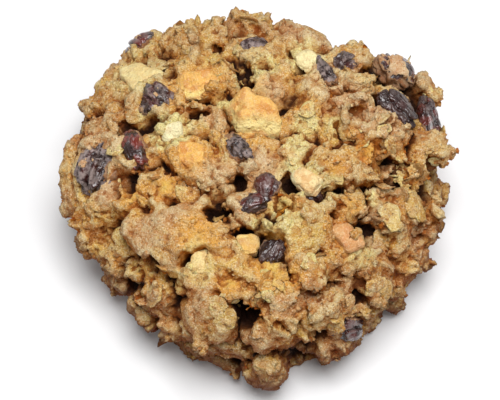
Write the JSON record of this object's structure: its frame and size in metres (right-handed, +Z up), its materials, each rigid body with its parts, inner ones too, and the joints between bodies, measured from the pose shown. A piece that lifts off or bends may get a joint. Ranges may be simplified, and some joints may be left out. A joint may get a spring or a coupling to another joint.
{
  "type": "oatmeal cranberry cookie",
  "caption": "Thick, craggy hand-dropped oatmeal cookie with dried cranberries and pale browned chips set into its top, on a flat baked base.",
  "frame": {"origin": "centre of the bounding box in plan, on the plane of the flat baked base", "axes": "+Z up from the base through the crown, +X to the viewer's right, +Y away from the viewer"},
  "size_m": [0.1002, 0.1008, 0.0437],
  "materials": {
    "dough": "golden-brown baked oat dough, rough and porous, paler in the crevices and darker round the foot",
    "cranberry": "dark purple-black wrinkled dried fruit, glossy under a grey dusty bloom",
    "chip": "cream-yellow baked chip, satin, toasted orange-brown on its crown"
  },
  "bodies": {
    "root": {"dough": "dough", "cranberry_top_right_corner": "cranberry", "cranberry_top_right_long": "cranberry", "cranberry_right_edge": "cranberry", "cranberry_back_left": "cranberry", "cranberry_back_middle": "cranberry", "cranberry_back_right": "cranberry", "cranberry_upper_left": "cranberry", "cranberry_upper_right_streak": "cranberry", "cranberry_middle_dusty": "cranberry", "cranberry_centre_upper": "cranberry", "cranberry_centre_lower": "cranberry", "cranberry_left_big": "cranberry", "cranberry_left_crescent": "cranberry", "cranberry_lower_middle": "cranberry", "cranberry_lower_right": "cranberry", "cranberry_middle_crack": "cranberry", "chip_upper_left": "chip", "chip_upper_middle": "chip", "chip_left_of_middle": "chip", "chip_largest": "chip", "chip_back_right": "chip", "chip_middle_right": "chip", "chip_centre_left": "chip", "chip_lower_middle": "chip", "chip_lower_left": "chip", "chip_wedge": "chip"}
  },
  "joints": []
}
